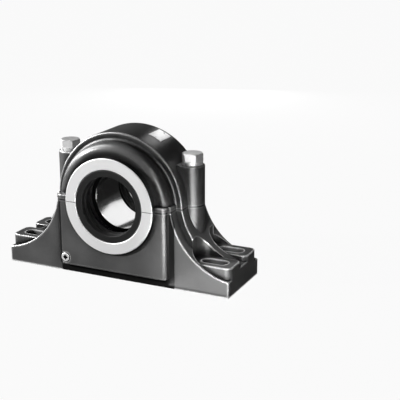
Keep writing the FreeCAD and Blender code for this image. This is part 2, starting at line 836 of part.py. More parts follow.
def locating_ring(label, side):
    outside = s.bearing_outer / 2
    near, far = bearing_half, bearing_half + s.locating_width
    ring = turned_ring(
        label, [(chamber_radius, near), (outside, near), (outside, far), (chamber_radius, far)]
    )
    return at_bearing(ring, degrees=0 if side > 0 else 180)


def outer_ring():
    outside, half, chamfer = s.bearing_outer / 2, bearing_half, s.ring_chamfer
    groove, floor = s.oil_groove_width / 2, s.bearing_outer / 2 - s.oil_groove_depth
    mouth = leg(raceway_radius, half)
    body = turned_ring(
        "outer_ring",
        [
            (mouth, -half),
            (outside - chamfer, -half),
            (outside, chamfer - half),
            (outside, -groove),
            (floor, s.oil_groove_depth - groove),
            (floor, groove - s.oil_groove_depth),
            (outside, groove),
            (outside, half - chamfer),
            (outside - chamfer, half),
            (mouth, half, Bend(raceway_radius, RIGHT_TURN)),
        ],
    )
    hole = Drawing(body, "oil_hole", "YZ")
    hole.circle(0, 0, s.oil_hole_diameter / 2)
    drilled = extrude(body, "Pocket", hole, outside)
    repeat_round_shaft(body, drilled, s.oil_hole_count)
    return at_bearing(body)


def taper_radius(y):
    """The tapered bore's radius, which shrinks towards the lock nut."""
    return bore_small + (bearing_half - y) / (2 * s.taper)


def inner_track():
    """The front raceway's two ends: at the retaining flange, and at the land between the rows."""
    arc_distance = inner_contact + raceway_radius
    track_end = s.roller_length / 2 + s.roller_play
    depth = arc_distance - leg(raceway_radius, track_end)
    flange_end = (depth * reach_x - track_end * lean_x, depth * reach_y - track_end * lean_y)
    land_half = s.guide_land / 2
    land_rise = arc_distance * sine(s.contact_angle) - land_half
    land_end = (arc_distance * reach_x - leg(raceway_radius, land_rise), -land_half)
    return flange_end, land_end


def inner_ring():
    half = bearing_half
    (end_x, end_y), (land_x, land_y) = inner_track()
    flange_radius = pitch_radius - s.flange_drop
    flange_y = end_y - (flange_radius - end_x) * tangent(s.contact_angle)
    track = Bend(raceway_radius, RIGHT_TURN)
    ring = turned_ring(
        "inner_ring",
        [
            (taper_radius(-half) + s.fit_gap, -half),
            (flange_radius, -half),
            (flange_radius, flange_y),
            (end_x, end_y, track),
            (land_x, land_y),
            (land_x, -land_y, track),
            (end_x, -end_y),
            (flange_radius, -flange_y),
            (flange_radius, half),
            (taper_radius(half) + s.fit_gap, half),
        ],
    )
    return at_bearing(ring)


def guide_ring():
    """The floating ring, whose sides lean with the ends of the rollers."""
    bore = inner_track()[1][0] + s.roller_play
    outside = pitch_radius - s.guide_drop
    end_x, end_y = roller_spot(s.roller_length / 2, 0)
    corners = []
    for radius, side in ((bore, -1), (outside, -1), (outside, 1), (bore, 1)):
        half_width = (radius - end_x) * tangent(s.contact_angle) - end_y - s.cage_play
        corners.append((radius, side * half_width))
    return at_bearing(turned_ring("guide_ring", corners))


def roller_corners(play):
    """Half of a barrel roller's section, from its own axis outwards, grown by play."""
    half = s.roller_length / 2 + play
    swell = raceway_radius - 2 * s.roller_play
    end_radius = s.roller_diameter / 2 + play - swell + leg(swell, half)
    return [
        roller_spot(-half, NO_GAP),
        roller_spot(half, NO_GAP),
        roller_spot(half, end_radius) + (Bend(swell, LEFT_TURN),),
        roller_spot(-half, end_radius),
    ]


def cage(label, side):
    pocket_half = s.roller_length / 2 + s.cage_play
    front, rear = -pocket_half - s.cage_outer_rim, pocket_half + s.cage_inner_rim
    wall = s.cage_thickness / 2
    section = [(front, -wall), (front, wall), (rear, wall), (rear, -wall)]
    body = turned_ring(label, [roller_spot(along, out) for along, out in section])
    pocket = Drawing(body, "pocket", "XY")
    corners = roller_corners(s.cage_play)
    pocket.loop(corners)
    ends = [Vector(number(x), number(y), 0) for x, y in corners[:2]]
    axis = pocket.sketch.addGeometry(Part.LineSegment(*ends), True)
    for point in (1, 2):
        pocket.sketch.addConstraint(Sketcher.Constraint("Coincident", axis, point, 0, point))
    window = turn(body, "Groove", pocket, axis="Axis0")
    repeat_round_shaft(body, window, s.roller_count)
    return at_bearing(body, degrees=0 if side < 0 else 180)


def rollers():
    """Both rows of barrel rollers, all turned from one section."""
    section = Drawing(None, "roller_section")
    section.loop(roller_corners(NO_GAP))
    made = []
    for index in range(int(s.roller_count.value)):
        angle = (360.0 * index) / s.roller_count
        # half a turn about the radial line at half the angle takes a front roller to the rear row
        across = (sine(angle / 2), 0, cosine(angle / 2))
        for row, axis, degrees in (("front", (0, 1, 0), angle), ("rear", across, 180.0)):
            label = f"roller_{row}_{index + 1:02d}"
            roller = doc.addObject("Part::Revolution", label)
            roller.Label = label
            roller.Source = section.sketch
            roller.Solid = True
            roller.Angle = 360.0
            roller.Axis = Vector(lean_x.value, lean_y.value, 0)
            for name, x, y in (("Base", pitch_radius, -roller_offset), ("Axis", lean_x, lean_y)):
                roller.setExpression(f"{name}.x", x.text)
                roller.setExpression(f"{name}.y", y.text)
            made.append(at_bearing(roller, axis, degrees))
    return made


# Sleeve, nut and seals


def notch(body, count, width, floor_radius, outside):
    """Axial notches in the rim of a ring, repeated round the shaft."""
    drawing = Drawing(body, "notch", "XZ")
    drawing.rectangle(-width / 2, width / 2, floor_radius, outside + s.edge_break)
    cut = extrude(body, "Pocket", drawing, None, symmetric=True)
    repeat_round_shaft(body, cut, count)


def adapter_sleeve():
    bore = shaft_radius + s.sleeve_gap
    front, rear = bearing_half + s.sleeve_nose, nut_face + s.sleeve_tail
    body = turned_ring(
        "adapter_sleeve",
        [
            (bore + s.edge_break, -front),
            (taper_radius(-front), -front),
            (taper_radius(bearing_half), bearing_half),
            (thread_radius, bearing_half),
            (thread_radius, rear),
            (bore + s.edge_break, rear),
            (bore, rear - s.edge_break),
            (bore, s.edge_break - front),
        ],
    )
    slit = Drawing(body, "slit", "XY")
    reach = front + rear
    slit.rectangle(-s.slit_width / 2, s.slit_width / 2, -reach, reach)
    extrude(body, "Pocket", slit, None, reverse=True)
    return at_bearing(body)


def tab_washer():
    bore = thread_radius + s.fit_gap
    tab_root = thread_radius + s.tab_ring
    tab_tip = tab_root + s.tab_length
    body = turned_ring(
        "tab_washer",
        [(bore, bearing_half), (tab_tip, bearing_half), (tab_tip, washer_face), (bore, washer_face)],
    )
    notch(body, s.tab_count, s.tab_gap, tab_root, tab_tip)
    key = Drawing(body, "key", "XZ", (bearing_half + washer_face) / 2)
    key_half = s.slit_width / 2 - s.key_gap
    key.rectangle(-key_half, key_half, shaft_radius + s.key_gap, bore + s.edge_break)
    extrude(body, "Pad", key, s.tab_washer_thickness, symmetric=True)
    return at_bearing(body)


def lock_nut():
    bore, outside, chamfer = thread_radius + s.fit_gap, thread_radius + s.nut_wall, s.ring_chamfer
    body = turned_ring(
        "lock_nut",
        [
            (bore, washer_face),
            (outside - chamfer, washer_face),
            (outside, washer_face + chamfer),
            (outside, nut_face - chamfer),
            (outside - chamfer, nut_face),
            (bore, nut_face),
        ],
    )
    notch(body, s.nut_slot_count, s.nut_slot_width, outside - s.nut_slot_depth, outside)
    return at_bearing(body)


cord_y = (rib_face_0 + rib_back_2) / 2
cord_radius = s.cord_diameter / 2


def seal_ring(label, side):
    groove_half = cord_radius + s.fit_gap
    groove_floor = seal_bore + s.cord_diameter + 2 * s.fit_gap
    front_rib_radius = bore_radius - s.front_rib_gap
    ring = turned_ring(
        label,
        [
            (seal_bore + s.edge_break, -rib_face_0),
            (front_rib_radius, -rib_face_0),
            (front_rib_radius, -rib_back_0),
            (seal_outside, -rib_back_0),
            (seal_outside, -rib_face_1),
            (rib_radius, -rib_face_1),
            (rib_radius, -rib_back_1),
            (seal_outside, -rib_back_1),
            (seal_outside, -rib_face_2),
            (rib_radius, -rib_face_2),
            (rib_radius, -rib_back_2),
            (seal_bore, -rib_back_2),
            (seal_bore, groove_half - cord_y),
            (groove_floor, groove_half - cord_y),
            (groove_floor, -groove_half - cord_y),
            (seal_bore, -groove_half - cord_y),
            (seal_bore, s.edge_break - rib_face_0),
        ],
    )
    return at_bearing(ring, degrees=0 if side < 0 else 180)


def seal_cord(label, side):
    cord = doc.addObject("Part::Torus", label)
    cord.Label = label
    cord.setExpression("Radius1", (seal_bore + s.fit_gap + cord_radius).text)
    cord.setExpression("Radius2", cord_radius.text)
    return place(cord, 0, side * cord_y, s.shaft_height, axis=(1, 0, 0), degrees=90)


def build():
    made = [housing_base(), housing_cap(), drain_plug()]
    made += [outer_ring(), inner_ring(), guide_ring()]
    made += [adapter_sleeve(), tab_washer(), lock_nut()]
    for name, side in (("left", -1), ("right", 1)):
        made.append(cap_bolt(f"cap_bolt_{name}", side))
        made.append(spring_washer(f"spring_washer_{name}", side))
        made.append(dowel_pin(f"dowel_pin_{name}", side))
    for name, side in (("front", -1), ("rear", 1)):
        made.append(locating_ring(f"locating_ring_{name}", side))
        made.append(cage(f"cage_{name}", side))
        made.append(seal_ring(f"seal_ring_{name}", side))
        made.append(seal_cord(f"seal_cord_{name}", side))
    made += rollers()
    doc.recompute()
    return made


def check(made):
    failed = [item.Label for item in doc.Objects if {"Invalid", "Error"} & set(item.State)]
    if failed:
        raise RuntimeError(f"these objects did not recompute: {failed}")
    for item in made:
        if item.Shape.isNull() or not item.Shape.isValid() or len(item.Shape.Solids) != 1:
            raise RuntimeError(f"{item.Label} is not one valid solid")


def export(made):
    os.makedirs("parts", exist_ok=True)
    for item in made:
        item.Shape.exportStep(f"parts/{item.Label}.step")
        box, volume = item.Shape.optimalBoundingBox(), item.Shape.Volume / 1000
        spans = f"{box.XLength:.1f} x {box.YLength:.1f} x {box.ZLength:.1f}"
        print(f"{item.Label}: {volume:.2f} cm3, {spans}")


parts = build()
check(parts)
export(parts)
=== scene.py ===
# %% [markdown]
# A split pillow block, dressed for its picture
#
# A pillow block carries a turning shaft above a bench or a frame. This one is a heavy cast iron housing in two
# halves, painted black, with a double-row roller bearing inside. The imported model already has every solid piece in
# its place. This lesson gives each piece the finish of the real one: enamel on rough iron, turned faces, plated
# bolts, ground steel. Then it adds a small plate and the studio around the block.

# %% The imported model
import math

import bmesh
import bpy
from mathutils import Matrix, Vector


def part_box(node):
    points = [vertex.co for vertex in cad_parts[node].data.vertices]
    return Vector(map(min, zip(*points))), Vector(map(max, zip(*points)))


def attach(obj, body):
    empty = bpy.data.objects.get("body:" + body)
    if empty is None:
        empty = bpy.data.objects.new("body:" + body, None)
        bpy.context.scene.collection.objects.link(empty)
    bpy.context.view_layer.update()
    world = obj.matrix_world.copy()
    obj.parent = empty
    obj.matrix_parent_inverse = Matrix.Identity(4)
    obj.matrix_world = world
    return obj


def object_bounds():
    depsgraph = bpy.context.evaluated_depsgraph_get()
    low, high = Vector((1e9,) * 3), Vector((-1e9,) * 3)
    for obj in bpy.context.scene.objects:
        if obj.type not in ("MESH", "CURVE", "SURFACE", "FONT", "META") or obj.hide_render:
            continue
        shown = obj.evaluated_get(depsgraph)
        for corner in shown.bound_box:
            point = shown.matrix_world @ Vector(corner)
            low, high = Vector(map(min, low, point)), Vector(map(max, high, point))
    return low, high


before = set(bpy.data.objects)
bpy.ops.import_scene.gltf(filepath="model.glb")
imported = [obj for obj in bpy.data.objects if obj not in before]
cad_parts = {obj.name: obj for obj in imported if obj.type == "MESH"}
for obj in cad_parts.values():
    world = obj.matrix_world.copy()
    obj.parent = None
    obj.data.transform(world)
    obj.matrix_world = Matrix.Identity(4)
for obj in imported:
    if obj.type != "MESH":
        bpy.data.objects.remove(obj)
cad_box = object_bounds()
print("pieces:", len(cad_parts), "box:", [tuple(round(v, 4) for v in corner) for corner in cad_box])

# %% [markdown]
# The camera comes first, because every later choice is judged through it. It stands to the right of the block and a
# little above it, and a long lens keeps the two ends of the base almost parallel.

# %% The camera
CAMERA_PLACE = Vector((0.7778, -1.3839, 0.6025))
CAMERA_DOWN = math.radians(16.91)
CAMERA_TURN = math.radians(25.08)
LENS_MM = 87.28
SENSOR_MM = 36.0

view = bpy.data.cameras.new("camera")
view.lens = LENS_MM
view.sensor_width = SENSOR_MM
camera = bpy.data.objects.new("camera", view)
camera.location = CAMERA_PLACE
camera.rotation_euler = (math.pi / 2 - CAMERA_DOWN, 0.0, CAMERA_TURN)
bpy.context.scene.collection.objects.link(camera)
bpy.context.scene.camera = camera
print("camera:", tuple(camera.location), "lens", view.lens)

# %% [markdown]
# Finishes follow the form of the piece: the ring round the bore is turned bare metal, the rest is paint. So the
# places where a finish changes are measured on the model where the box of a whole piece gives them. What lies within
# one piece is written down: the ring's radii and corners, how far it stands proud, and the edges of the front panel.

# %% Places on the model
_, base_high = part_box("housing_base")
cap_low, cap_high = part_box("housing_cap")
sleeve_low, sleeve_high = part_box("adapter_sleeve")
plug_low, plug_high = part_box("drain_plug")

JOINT_HEIGHT = cap_low.z
BORE_HEIGHT = (sleeve_low.z + sleeve_high.z) / 2
BARREL_RADIUS = cap_high.z - BORE_HEIGHT
PLUG_X = (plug_low.x + plug_high.x) / 2
PLUG_Z = (plug_low.z + plug_high.z) / 2
PLUG_RADIUS = (plug_high.x - plug_low.x) / 2
FACE_Y = base_high.y
FACE_RADIUS = 0.0815
FACE_BORE = 0.0623
FACE_CORNER = 0.0012
FACE_PROUD = 0.0048
PANEL_HALF = 0.10275
PANEL_FOOT = 0.0145
print("joint at", round(JOINT_HEIGHT, 4), "bore at", round(BORE_HEIGHT, 4), "barrel", round(BARREL_RADIUS, 5))

# %% [markdown]
# A material is a small graph of nodes. Building one by hand takes many lines, so a helper holds the graph while it
# grows. It makes a node, fills the sockets with numbers or with other nodes' outputs, and gives common sums short
# names. The floor and the world use the same helper later.


# %% A helper for node graphs
class Graph:
    """A node tree in the making."""

    def __init__(self, tree):
        self.tree = tree

    def feed(self, socket, value):
        if isinstance(value, bpy.types.NodeSocket):
            self.tree.links.new(value, socket)
        else:
            socket.default_value = value

    def node(self, kind, inputs=None, **settings):
        new = self.tree.nodes.new("ShaderNode" + kind)
        for name, value in settings.items():
            setattr(new, name, value)
        for name, value in (inputs or {}).items():
            self.feed(new.inputs[name], value)
        return new

    def sum(self, operation, first, *others):
        """One operation, carried on over all the values."""
        for other in others or (0.0,):
            first = self.node("Math", {0: first, 1: other}, operation=operation).outputs[0]
        return first

    def plus(self, *values):
        return self.sum("ADD", *values)

    def minus(self, *values):
        return self.sum("SUBTRACT", *values)

    def times(self, *values):
        return self.sum("MULTIPLY", *values)

    def largest(self, *values):
        return self.sum("MAXIMUM", *values)

    def more(self, value, limit):
        return self.sum("GREATER_THAN", value, limit)

    def less(self, value, limit):
        return self.sum("LESS_THAN", value, limit)

    def rest(self, share):
        return self.minus(1.0, share)

    def reach(self, first, second):
        """The straight distance, from two distances at right angles."""
        return self.sum("SQRT", self.plus(self.times(first, first), self.times(second, second)))

    def mix(self, share, first, second):
        return self.node("Mix", {0: share, 6: first, 7: second}, data_type="RGBA").outputs[2]

    def mix_numbers(self, share, first, second):
        return self.node("Mix", {0: share, 2: first, 3: second}, data_type="FLOAT").outputs[0]


# %% [markdown]
# A finish is a graph that ends in a shader. Its own helpers are the patterns that metal and paint need: a soft step
# between two limits, cloudy noise, the rings that a tool leaves, fine relief, and a way to find corners and hollows.
# Ambient occlusion does the last two. Looking out, it is dark in hollows, and looking into the piece, at corners.

# %% A helper for finishes
OCCLUSION_SAMPLES = 8


class Finish(Graph):
    """A material in the making: nodes are added to it and wired into its shader."""

    def __init__(self, name):
        self.material = bpy.data.materials.new(name)
        self.material.use_nodes = True
        super().__init__(self.material.node_tree)
        self.shader = self.tree.nodes["Principled BSDF"]
        self.place = self.node("TexCoord").outputs["Object"]
        self.x, self.y, self.z = self.node("SeparateXYZ", {"Vector": self.place}).outputs

    def between(self, value, span, to=(0.0, 1.0)):
        """A soft step: from to[0] at the start of the span to to[1] at its end."""
        limits = {"From Min": span[0], "From Max": span[1], "To Min": to[0], "To Max": to[1]}
        return self.node("MapRange", {"Value": value, **limits}, interpolation_type="SMOOTHSTEP").outputs["Result"]

    def below(self, value, start, end):
        return self.between(value, (start, end), (1.0, 0.0))

    def noise(self, scale, detail=2.0, roughness=0.5):
        inputs = {"Vector": self.place, "Scale": scale, "Detail": detail, "Roughness": roughness}
        return self.node("TexNoise", inputs).outputs[0]

    def grooves(self, distance, per_metre):
        """Uneven rings or lines that follow one measure, as a turning tool leaves them."""
        inputs = {"W": self.times(distance, per_metre), "Scale": 1.0, "Detail": 2.0}
        return self.node("TexNoise", inputs, noise_dimensions="1D").outputs[0]

    def bump(self, height, depth, under=None):
        inputs = {"Height": height, "Distance": depth, "Strength": 1.0}
        if under is not None:
            inputs["Normal"] = under
        return self.node("Bump", inputs).outputs[0]

    def bore_radius(self):
        """The distance from the bore's axis, which runs along Y."""
        return self.reach(self.x, self.minus(self.z, BORE_HEIGHT))

    def closed_in(self, width, inside):
        settings = {"samples": OCCLUSION_SAMPLES, "inside": inside, "only_local": True}
        return self.rest(self.node("AmbientOcclusion", {"Distance": width}, **settings).outputs["AO"])

    def corners(self, width):
        """1 along the piece's outer corners, 0 on its flats and in its hollows."""
        return self.closed_in(width, inside=True)

    def hollows(self, width):
        """Near 0.5 in a square inner corner, more in a groove, 0 on open flats."""
        return self.closed_in(width, inside=False)

    def finish(self, sockets):
        for name, value in sockets.items():
            self.feed(self.shader.inputs[name], value)
        print(self.material.name, "has", len(self.tree.nodes), "nodes")
        return self.material


def grey(value):
    return (value, value, value, 1.0)


# Noise lies mostly within these limits, so a step between them uses its whole range.
NOISE_SPAN = (0.3, 0.7)

# %% [markdown]
# The housing's enamel is built up in four steps. The first is wear and painted highlight: the outer corners turn light
# grey, partly as where castings knock together and partly as a painted highlight along every edge. A narrow look for
# corners gives the light line, a wide one lightens the paint beside it a little, and a noise chips the line. The joint
# between the halves keeps its paint, because there one edge shields the other.

# %% Worn corners and painted highlights
SHARP_WIDTH = 0.0030
SHARP_SPAN = (0.05, 0.26)
SOFT_WIDTH = 0.0060
SOFT_SPAN = (0.08, 0.45)
SOFT_SHARE = 0.12
CHIPS = 240.0
CHIP_SPAN = (0.30, 0.60)
CHIP_SHARE = (0.70, 1.0)


def worn_and_highlit_corners(f, off_joint):
    # Light grey on the outer corners: wear, and a painted highlight along every edge.
    sharp = f.between(f.corners(SHARP_WIDTH), SHARP_SPAN)
    soft = f.times(f.between(f.corners(SOFT_WIDTH), SOFT_SPAN), SOFT_SHARE)
    chips = f.between(f.noise(CHIPS), CHIP_SPAN, CHIP_SHARE)
    return f.times(f.largest(sharp, soft), f.times(chips, off_joint))


# %% [markdown]
# The second step darkens the paint. A dark line runs along the joint between the halves. The rest is painted shade:
# in hollows, round the foot of the ring and round the plug, and a broader band of painted shadow under the raised
# panel and beside it. Hollows are found by occlusion, and the rest are plain distances from places that are known
# already.

# %% Dark joint and painted shade
DARK_BAND_WIDTH = 0.0014
HOLLOW_WIDTH = 0.020
HOLLOW_SPAN = (0.06, 0.26)
HALF_JOINT = 0.0011
JOINT_CALM = 0.0030
PANEL_SHADE = 0.0115
LEFT_DEPTH = 3 * FACE_PROUD
RIGHT_DEPTH = 4 * FACE_PROUD
LEFT_BAND = 5 * DARK_BAND_WIDTH


def painted_panel_shade(f, depth):
    """Painted shade and painted shadow under the front panel and down its two sides, up to a short way past its right
    edge.
    """
    under = f.times(f.below(f.z, PANEL_FOOT, PANEL_FOOT + 2 * DARK_BAND_WIDTH), f.more(f.x, -PANEL_HALF))
    left = f.times(f.more(depth, FACE_Y - LEFT_DEPTH),
                   f.below(f.x, LEFT_BAND - PANEL_HALF, LEFT_BAND + DARK_BAND_WIDTH - PANEL_HALF))
    right = f.times(f.more(depth, FACE_Y - RIGHT_DEPTH),
                    f.between(f.x, (PANEL_HALF - 2 * DARK_BAND_WIDTH, PANEL_HALF)))
    sides = f.times(f.largest(left, right), f.less(f.z, JOINT_HEIGHT - JOINT_CALM))
    end = PANEL_HALF + PANEL_SHADE
    return f.times(f.largest(under, sides), f.below(f.x, end - DARK_BAND_WIDTH, end))


def dirt_and_painted_shade(f, radius, depth, from_joint, off_joint):
    # Painted shade at the ring's foot, in hollows and round the plug; only the joint line is a dark joint.
    shade_at_ring_foot = f.times(f.more(depth, FACE_Y - 2 * FACE_PROUD),
                        f.below(radius, FACE_RADIUS + DARK_BAND_WIDTH, FACE_RADIUS + 2 * DARK_BAND_WIDTH))
    shade_in_hollows = f.times(f.between(f.hollows(HOLLOW_WIDTH), HOLLOW_SPAN), off_joint)
    from_plug = f.reach(f.minus(f.x, PLUG_X), f.minus(f.z, PLUG_Z))
    shade_round_plug = f.times(f.less(f.y, plug_low.y / 2),
                        f.below(from_plug, PLUG_RADIUS + DARK_BAND_WIDTH / 2, PLUG_RADIUS + DARK_BAND_WIDTH))
    joint_line = f.below(from_joint, HALF_JOINT / 2, HALF_JOINT)
    return f.largest(shade_at_ring_foot, shade_in_hollows, shade_round_plug, joint_line, painted_panel_shade(f, depth))


# %% [markdown]
# The third step is the ring round each seal. It is turned after painting, so there the same material becomes bare
# metal with fine tool rings and a painted highlight on its two corners, and a dark seam shows where the two halves
# meet.

# %% The turned ring
TURNED_DARK = grey(0.79)
TURNED_LIGHT = grey(0.88)
TURNED_EDGE_HIGHLIGHT = grey(0.97)
SEAM = grey(0.03)
HALF_SEAM = 0.00050


def turned_colour(f, rings, radius, seam):
    outer_edge = f.more(radius, FACE_RADIUS - FACE_CORNER)
    inner_edge = f.less(radius, FACE_BORE + FACE_CORNER)
    colour = f.mix(rings, TURNED_DARK, TURNED_LIGHT)
    # Painted highlight on the ring's outer and inner corners.
    colour = f.mix(f.largest(outer_edge, inner_edge), colour, TURNED_EDGE_HIGHLIGHT)
    return f.mix(seam, colour, SEAM)


# %% [markdown]
# The last step puts them together. The sand of the mould leaves a fine grain that the paint softens, and the gloss
# changes a little from place to place. One material does all of it, because on the real casting it is one surface.

# %% Enamel on cast iron
PAINT_DARK = grey(0.080)
PAINT_LIGHT = grey(0.105)
# The light grey of worn corners and of the painted highlight along the edges.
PAINT_WORN_HIGHLIT = grey(0.88)
# The near black of the dark joint line and of the painted shade.
DIRT_AND_SHADE = grey(0.006)
PAINT_SPAN = (0.35, 0.65)
PAINT_ROUGH = (0.28, 0.36)
PAINT_GLOSS = 0.40
TURNED_ROUGH = (0.40, 0.50)
TURNED_METAL = 0.15
WORN_HIGHLIT_METAL = 0.30
BLOTCHES = 14.0
RIPPLES = 160.0
GRAINS = 520.0
TOOL_RINGS = 2200.0
GRAIN_SHARE = 0.4
GRAIN_DEPTH = 0.00018
RING_DEPTH = 0.00002
SOLE = 0.0004


def casting_paint():
    f = Finish("enamel_on_cast_iron")
    radius = f.bore_radius()
    depth = f.sum("ABSOLUTE", f.y)
    from_joint = f.sum("ABSOLUTE", f.minus(f.z, JOINT_HEIGHT))
    off_joint = f.between(from_joint, (JOINT_CALM / 2, JOINT_CALM))
    ring = f.times(f.more(depth, FACE_Y - FACE_CORNER), f.less(radius, FACE_RADIUS + FACE_CORNER))
    bare = f.largest(ring, f.less(f.z, SOLE))
    painted = f.rest(bare)

    blotches = f.noise(BLOTCHES, detail=3.0)
    grain = f.noise(GRAINS, detail=3.0, roughness=0.6)
    ripple = f.noise(RIPPLES)
    rings = f.grooves(radius, TOOL_RINGS)
    wear_and_highlight = worn_and_highlit_corners(f, off_joint)
    paint = f.mix(f.between(blotches, PAINT_SPAN), PAINT_DARK, PAINT_LIGHT)
    # Light grey corners: wear and a painted highlight.
    paint = f.mix(wear_and_highlight, paint, PAINT_WORN_HIGHLIT)
    # A dark joint line, and painted shade and painted shadow in hollows and by the ring, the plug and the panel.
    paint = f.mix(dirt_and_painted_shade(f, radius, depth, from_joint, off_joint), paint, DIRT_AND_SHADE)
    turned = turned_colour(f, rings, radius, f.times(ring, f.less(from_joint, HALF_SEAM)))

    unevenness = f.plus(f.times(blotches, 0.7), f.times(ripple, 0.3))
    rough = f.mix_numbers(bare, f.between(unevenness, PAINT_SPAN, PAINT_ROUGH),
                          f.between(rings, NOISE_SPAN, TURNED_ROUGH))
    metal = f.largest(f.times(bare, TURNED_METAL), f.times(wear_and_highlight, WORN_HIGHLIT_METAL, painted))
    sand = f.bump(f.times(f.plus(f.times(grain, GRAIN_SHARE), ripple), painted), GRAIN_DEPTH)
    relief = f.bump(f.times(rings, bare), RING_DEPTH, under=sand)
    return f.finish({"Base Color": f.mix(bare, paint, turned), "Roughness": rough, "Metallic": metal,
                     "Specular IOR Level": PAINT_GLOSS, "Normal": relief})


# %% [markdown]
# The bolts, their split washers and the plug are zinc plated: bright, slightly cloudy, and soft at the corners. Zinc
# has a faint crystal pattern, so the cloud is a noise at a few millimetres, in both the colour and the gloss.

# %% Zinc plate
ZINC_DARK = grey(0.78)
ZINC_LIGHT = grey(0.87)
ZINC_ROUGH = (0.36, 0.44)
ZINC_CLOUDS = 210.0
SCRATCHES = 1500.0
SCRATCH_DEPTH = 0.000004
BOLT_METAL = 0.15


def plated_steel(name, metal):
    f = Finish(name)
    cloud = f.noise(ZINC_CLOUDS, detail=4.0, roughness=0.6)
    scratches = f.noise(SCRATCHES, detail=1.0)
    return f.finish({"Base Color": f.mix(f.between(cloud, NOISE_SPAN), ZINC_DARK, ZINC_LIGHT),
                     "Roughness": f.between(cloud, NOISE_SPAN, ZINC_ROUGH), "Metallic": metal,
                     "Normal": f.bump(scratches, SCRATCH_DEPTH)})


# %% [markdown]
# The plug's square socket is darkened with painted shade. So the plug has its own version of the zinc, which turns
# dark and dull behind its front face.

# %% The plug
SOCKET_LIP = 0.0007
SOCKET_SHADE = grey(0.008)
PLUG_SPAN = (0.3, 1.4)
PLUG_ROUGH = (0.36, 0.80)
PLUG_METAL = 0.25


def plug_plate():
    f = Finish("plug_with_shaded_socket")
    cloud = f.noise(ZINC_CLOUDS, detail=3.0)
    inside = f.more(f.y, plug_low.y + SOCKET_LIP)
    zinc = f.mix(f.between(cloud, NOISE_SPAN), ZINC_DARK, ZINC_LIGHT)
    # Painted shade inside the socket, behind the plug's front face.
    return f.finish({"Base Color": f.mix(inside, zinc, SOCKET_SHADE),
                     "Roughness": f.between(f.plus(cloud, inside), PLUG_SPAN, PLUG_ROUGH),
                     "Metallic": f.between(inside, (0.0, 1.0), (PLUG_METAL, 0.0))})


# %% [markdown]
# Rings, rollers and the sleeve are hardened and ground. Grinding leaves hair-fine lines round the axis of the shaft.
# The lines follow the position along the shaft, so on every ring they run the right way round. Where a piece is
# greased, from a given radius outwards, the steel turns dark and dull.

# %% Ground steel
STEEL_DARK = grey(0.70)
STEEL_LIGHT = grey(0.84)
STEEL_CLOUDS = 40.0
GRINDING_LINES = 3200.0
LINE_SLANT = 0.6
LINE_DEPTH = 0.00001
GREASE = grey(0.004)
GREASE_ROUGH = 0.90


def ground_steel(name, rough_span, grease_from=None):
    f = Finish(name)
    radius = f.bore_radius()
    lines = f.grooves(f.plus(f.y, f.times(radius, LINE_SLANT)), GRINDING_LINES)
    cloud = f.noise(STEEL_CLOUDS)
    colour = f.mix(f.times(f.plus(lines, cloud), 0.5), STEEL_DARK, STEEL_LIGHT)
    rough = f.between(lines, NOISE_SPAN, rough_span)
    if grease_from:
        greasy = f.more(radius, grease_from)
        colour = f.mix(greasy, colour, GREASE)
        rough = f.largest(rough, f.times(greasy, GREASE_ROUGH))
    return f.finish({"Base Color": colour, "Roughness": rough, "Metallic": 1.0,
                     "Normal": f.bump(lines, LINE_DEPTH)})


# %% [markdown]
# The cages and the floating ring are pressed steel with a grey phosphate coat: dull, a little mottled, and polished
# only where the rollers rub. Outer corners show that polish.

# %% Phosphated steel
PHOSPHATE_DARK = grey(0.16)
PHOSPHATE_LIGHT = grey(0.26)
PHOSPHATE_RUBBED = grey(0.55)
PHOSPHATE_ROUGH = (0.38, 0.55)
PHOSPHATE_METAL = 0.85
MOTTLES = 320.0
MOTTLE_DEPTH = 0.00003
CAGE_CORNER = 0.0012
CAGE_RUB_SPAN = (0.10, 0.45)


def cage_steel():
    f = Finish("phosphated_steel")
    mottle = f.noise(MOTTLES, detail=4.0, roughness=0.65)
    colour = f.mix(f.between(mottle, NOISE_SPAN), PHOSPHATE_DARK, PHOSPHATE_LIGHT)
    rubbed = f.between(f.corners(CAGE_CORNER), CAGE_RUB_SPAN)
    return f.finish({"Base Color": f.mix(rubbed, colour, PHOSPHATE_RUBBED),
                     "Roughness": f.between(mottle, NOISE_SPAN, PHOSPHATE_ROUGH), "Metallic": PHOSPHATE_METAL,
                     "Normal": f.bump(mottle, MOTTLE_DEPTH)})


# %% [markdown]
# The seal rings turn with the shaft inside the housing's bore. They are turned iron, blackened against rust, so they
# look almost as dark as the hollow behind them, with faint tool rings and a lighter line at the corners.

# %% Blackened iron
BLACKED_DARK = grey(0.010)
BLACKED_LIGHT = grey(0.020)
BLACKED_RUBBED = grey(0.10)
BLACKED_ROUGH = (0.50, 0.62)
BLACKED_GLOSS = 0.10
SEAL_RINGS = 1800.0
SEAL_RING_DEPTH = 0.00003
SEAL_CORNER = 0.0015
SEAL_RUB_SPAN = (0.12, 0.45)


def seal_iron():
    f = Finish("blackened_iron")
    rings = f.grooves(f.bore_radius(), SEAL_RINGS)
    rubbed = f.between(f.corners(SEAL_CORNER), SEAL_RUB_SPAN)
    return f.finish({"Base Color": f.mix(rubbed, f.mix(rings, BLACKED_DARK, BLACKED_LIGHT), BLACKED_RUBBED),
                     "Roughness": f.between(rings, NOISE_SPAN, BLACKED_ROUGH),
                     "Specular IOR Level": BLACKED_GLOSS, "Normal": f.bump(rings, SEAL_RING_DEPTH)})


# %% [markdown]
# The round cords in the seal rings' bores are black rubber: matt, with a fine bloom on the surface.

# %% Rubber
RUBBER_DARK = grey(0.012)
RUBBER_BLOOM = grey(0.035)
RUBBER_ROUGH = (0.60, 0.80)
RUBBER_GLOSS = 0.3
BLOOM = 700.0
BLOOM_SPAN = (0.45, 0.75)
BLOOM_DEPTH = 0.00004


